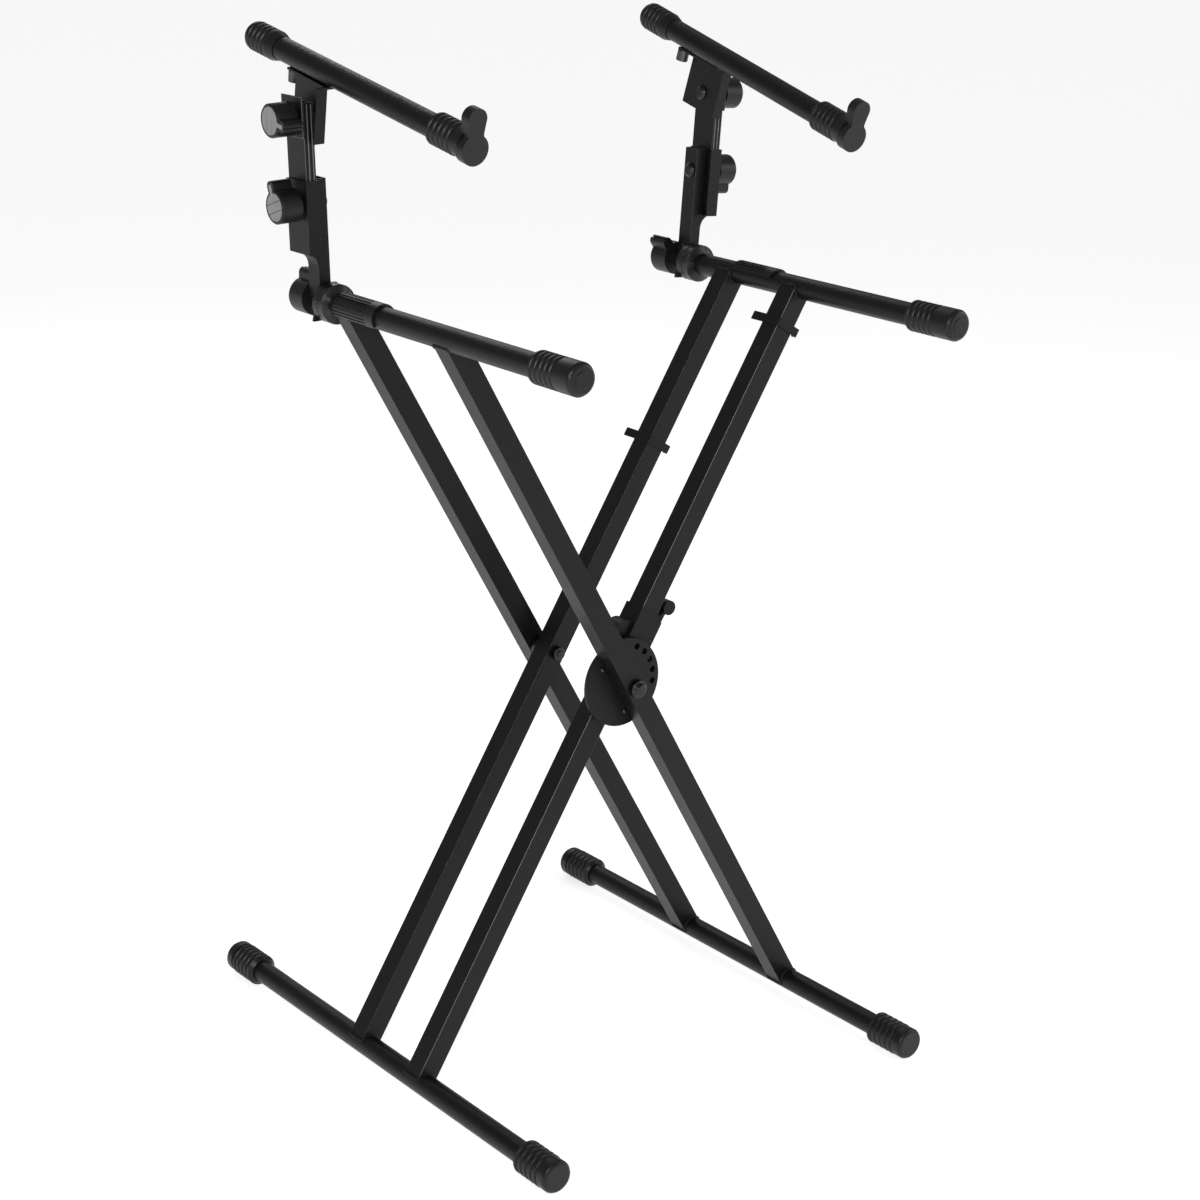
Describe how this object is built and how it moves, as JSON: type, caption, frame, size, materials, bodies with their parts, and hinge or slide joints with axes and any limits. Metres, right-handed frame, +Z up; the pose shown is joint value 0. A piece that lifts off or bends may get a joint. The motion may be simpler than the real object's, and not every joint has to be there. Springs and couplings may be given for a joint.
{
  "type": "folding keyboard stand",
  "caption": "Folding tiered keyboard stand on crossed square-tube legs, with ribbed rubber caps, toothed arm pivots, slotted posts and tilting upper arms.",
  "frame": {"origin": "on the floor at the centre of the outline seen from above", "axes": "+Z up, +X to the player's right, -Y towards the front ends of the arms"},
  "size_m": [0.6414, 0.652, 1.1608],
  "materials": {
    "powder_coat": "satin black powder coat",
    "rubber_black": "matte black rubber",
    "plastic_black": "matte black plastic",
    "cast_pivot": "black cast metal",
    "zinc_bolt": "plated steel",
    "black_screw": "black oxide steel"
  },
  "bodies": {
    "frame_a": {"foot_tube_right": "powder_coat", "leg_a_front": "powder_coat", "leg_a_rear": "powder_coat", "arm_tube_left": "powder_coat", "foot_cap_right_front": "rubber_black", "foot_cap_right_rear": "rubber_black", "arm_cap_left": "rubber_black", "arm_sleeve_left": "rubber_black", "rosette_arm_left": "cast_pivot", "pivot_bolt_left": "zinc_bolt", "lock_disc": "powder_coat", "hub_bolts": "zinc_bolt", "hub_spacers": "zinc_bolt"},
    "frame_b": {"foot_tube_left": "powder_coat", "leg_b_front": "powder_coat", "leg_b_rear": "powder_coat", "arm_tube_right": "powder_coat", "foot_cap_left_front": "rubber_black", "foot_cap_left_rear": "rubber_black", "arm_cap_right": "rubber_black", "arm_sleeve_right": "rubber_black", "rosette_arm_right": "cast_pivot", "pivot_bolt_right": "zinc_bolt", "cable_clip_front": "plastic_black", "cable_clip_rear": "plastic_black", "lock_housing": "powder_coat", "lever_axle": "zinc_bolt"},
    "lock_trigger": {"lock_trigger": "plastic_black"},
    "lock_pin": {"lock_pin": "zinc_bolt"},
    "post_right": {"post_right": "powder_coat", "rosette_post_right": "cast_pivot", "height_bolt_right": "zinc_bolt"},
    "mid_right": {"mid_bar_right": "powder_coat", "clamp_plate_right": "powder_coat"},
    "upper_right": {"saddle_right": "powder_coat", "tilt_bolt_right": "zinc_bolt", "saddle_screw_right": "black_screw", "upper_arm_tube_right": "powder_coat", "upper_cap_rear_right": "rubber_black", "upper_cap_front_right": "rubber_black"},
    "pivot_knob_right": {"pivot_knob_right": "plastic_black"},
    "height_knob_right": {"height_knob_right": "plastic_black"},
    "tilt_knob_right": {"tilt_knob_right": "plastic_black"},
    "post_left": {"post_left": "powder_coat", "rosette_post_left": "cast_pivot", "height_bolt_left": "zinc_bolt"},
    "mid_left": {"mid_bar_left": "powder_coat", "clamp_plate_left": "powder_coat"},
    "upper_left": {"saddle_left": "powder_coat", "tilt_bolt_left": "zinc_bolt", "saddle_screw_left": "black_screw", "upper_arm_tube_left": "powder_coat", "upper_cap_rear_left": "rubber_black", "upper_cap_front_left": "rubber_black"},
    "pivot_knob_left": {"pivot_knob_left": "plastic_black"},
    "height_knob_left": {"height_knob_left": "plastic_black"},
    "tilt_knob_left": {"tilt_knob_left": "plastic_black"}
  },
  "joints": [
    {"name": "fold", "type": "hinge", "parent": "frame_a", "child": "frame_b", "pos_m": [0, -0.011, 0.44764], "axis": [0, 1, 0], "range_deg": [-55, 68.8]},
    {"name": "trigger_squeeze", "type": "hinge", "parent": "frame_b", "child": "lock_trigger", "pos_m": [0.04644, -0.0675, 0.48505], "axis": [0, -1, 0], "range_deg": [0, 8], "stiffness_Nm_per_rad": 1, "springref_deg": -8.59},
    {"name": "lock_pin_slide", "type": "slide", "parent": "frame_b", "child": "lock_pin", "axis": [0, 1, 0], "range_m": [0, 0.004]},
    {"name": "post_pivot_right", "type": "hinge", "parent": "frame_b", "child": "post_right", "pos_m": [0.2535, 0.11, 0.8688], "axis": [0, 1, 0], "range_deg": [-34.4, 27.5]},
    {"name": "height_slide_right", "type": "slide", "parent": "post_right", "child": "mid_right", "axis": [0.0541, 0, 0.9985], "range_m": [-0.005, 0.03]},
    {"name": "arm_tilt_right", "type": "hinge", "parent": "mid_right", "child": "upper_right", "pos_m": [0.26418, 0.13, 1.06601], "axis": [0.9985, 0, -0.0541], "range_deg": [-34.5, 4.5]},
    {"name": "pivot_knob_turn_right", "type": "hinge", "parent": "frame_b", "child": "pivot_knob_right", "pos_m": [0.2535, 0.158, 0.8688], "axis": [0, 1, 0], "continuous": true},
    {"name": "height_knob_turn_right", "type": "hinge", "parent": "post_right", "child": "height_knob_right", "pos_m": [0.30222, 0.13, 0.97332], "axis": [0.9985, 0, -0.0541], "continuous": true},
    {"name": "tilt_knob_turn_right", "type": "hinge", "parent": "upper_right", "child": "tilt_knob_right", "pos_m": [0.30712, 0.13, 1.06369], "axis": [0.9985, 0, -0.0541], "continuous": true},
    {"name": "post_pivot_left", "type": "hinge", "parent": "frame_a", "child": "post_left", "pos_m": [-0.2535, 0.11, 0.8688], "axis": [0, 1, 0], "range_deg": [-27.5, 34.4]},
    {"name": "height_slide_left", "type": "slide", "parent": "post_left", "child": "mid_left", "axis": [-0.0541, 0, 0.9985], "range_m": [-0.005, 0.03]},
    {"name": "arm_tilt_left", "type": "hinge", "parent": "mid_left", "child": "upper_left", "pos_m": [-0.26418, 0.13, 1.06601], "axis": [0.9985, 0, 0.0541], "range_deg": [-31, 8]},
    {"name": "pivot_knob_turn_left", "type": "hinge", "parent": "frame_a", "child": "pivot_knob_left", "pos_m": [-0.2535, 0.158, 0.8688], "axis": [0, 1, 0], "continuous": true},
    {"name": "height_knob_turn_left", "type": "hinge", "parent": "post_left", "child": "height_knob_left", "pos_m": [-0.30222, 0.13, 0.97332], "axis": [-0.9985, 0, -0.0541], "continuous": true},
    {"name": "tilt_knob_turn_left", "type": "hinge", "parent": "upper_left", "child": "tilt_knob_left", "pos_m": [-0.30712, 0.13, 1.06369], "axis": [-0.9985, 0, -0.0541], "continuous": true}
  ],
  "couplings": [
    {"joint": "lock_pin_slide", "follows": "trigger_squeeze", "m_per_rad": 0.028647},
    {"joint": "post_pivot_right", "follows": "fold", "ratio": -0.5},
    {"joint": "post_pivot_left", "follows": "fold", "ratio": 0.5}
  ]
}
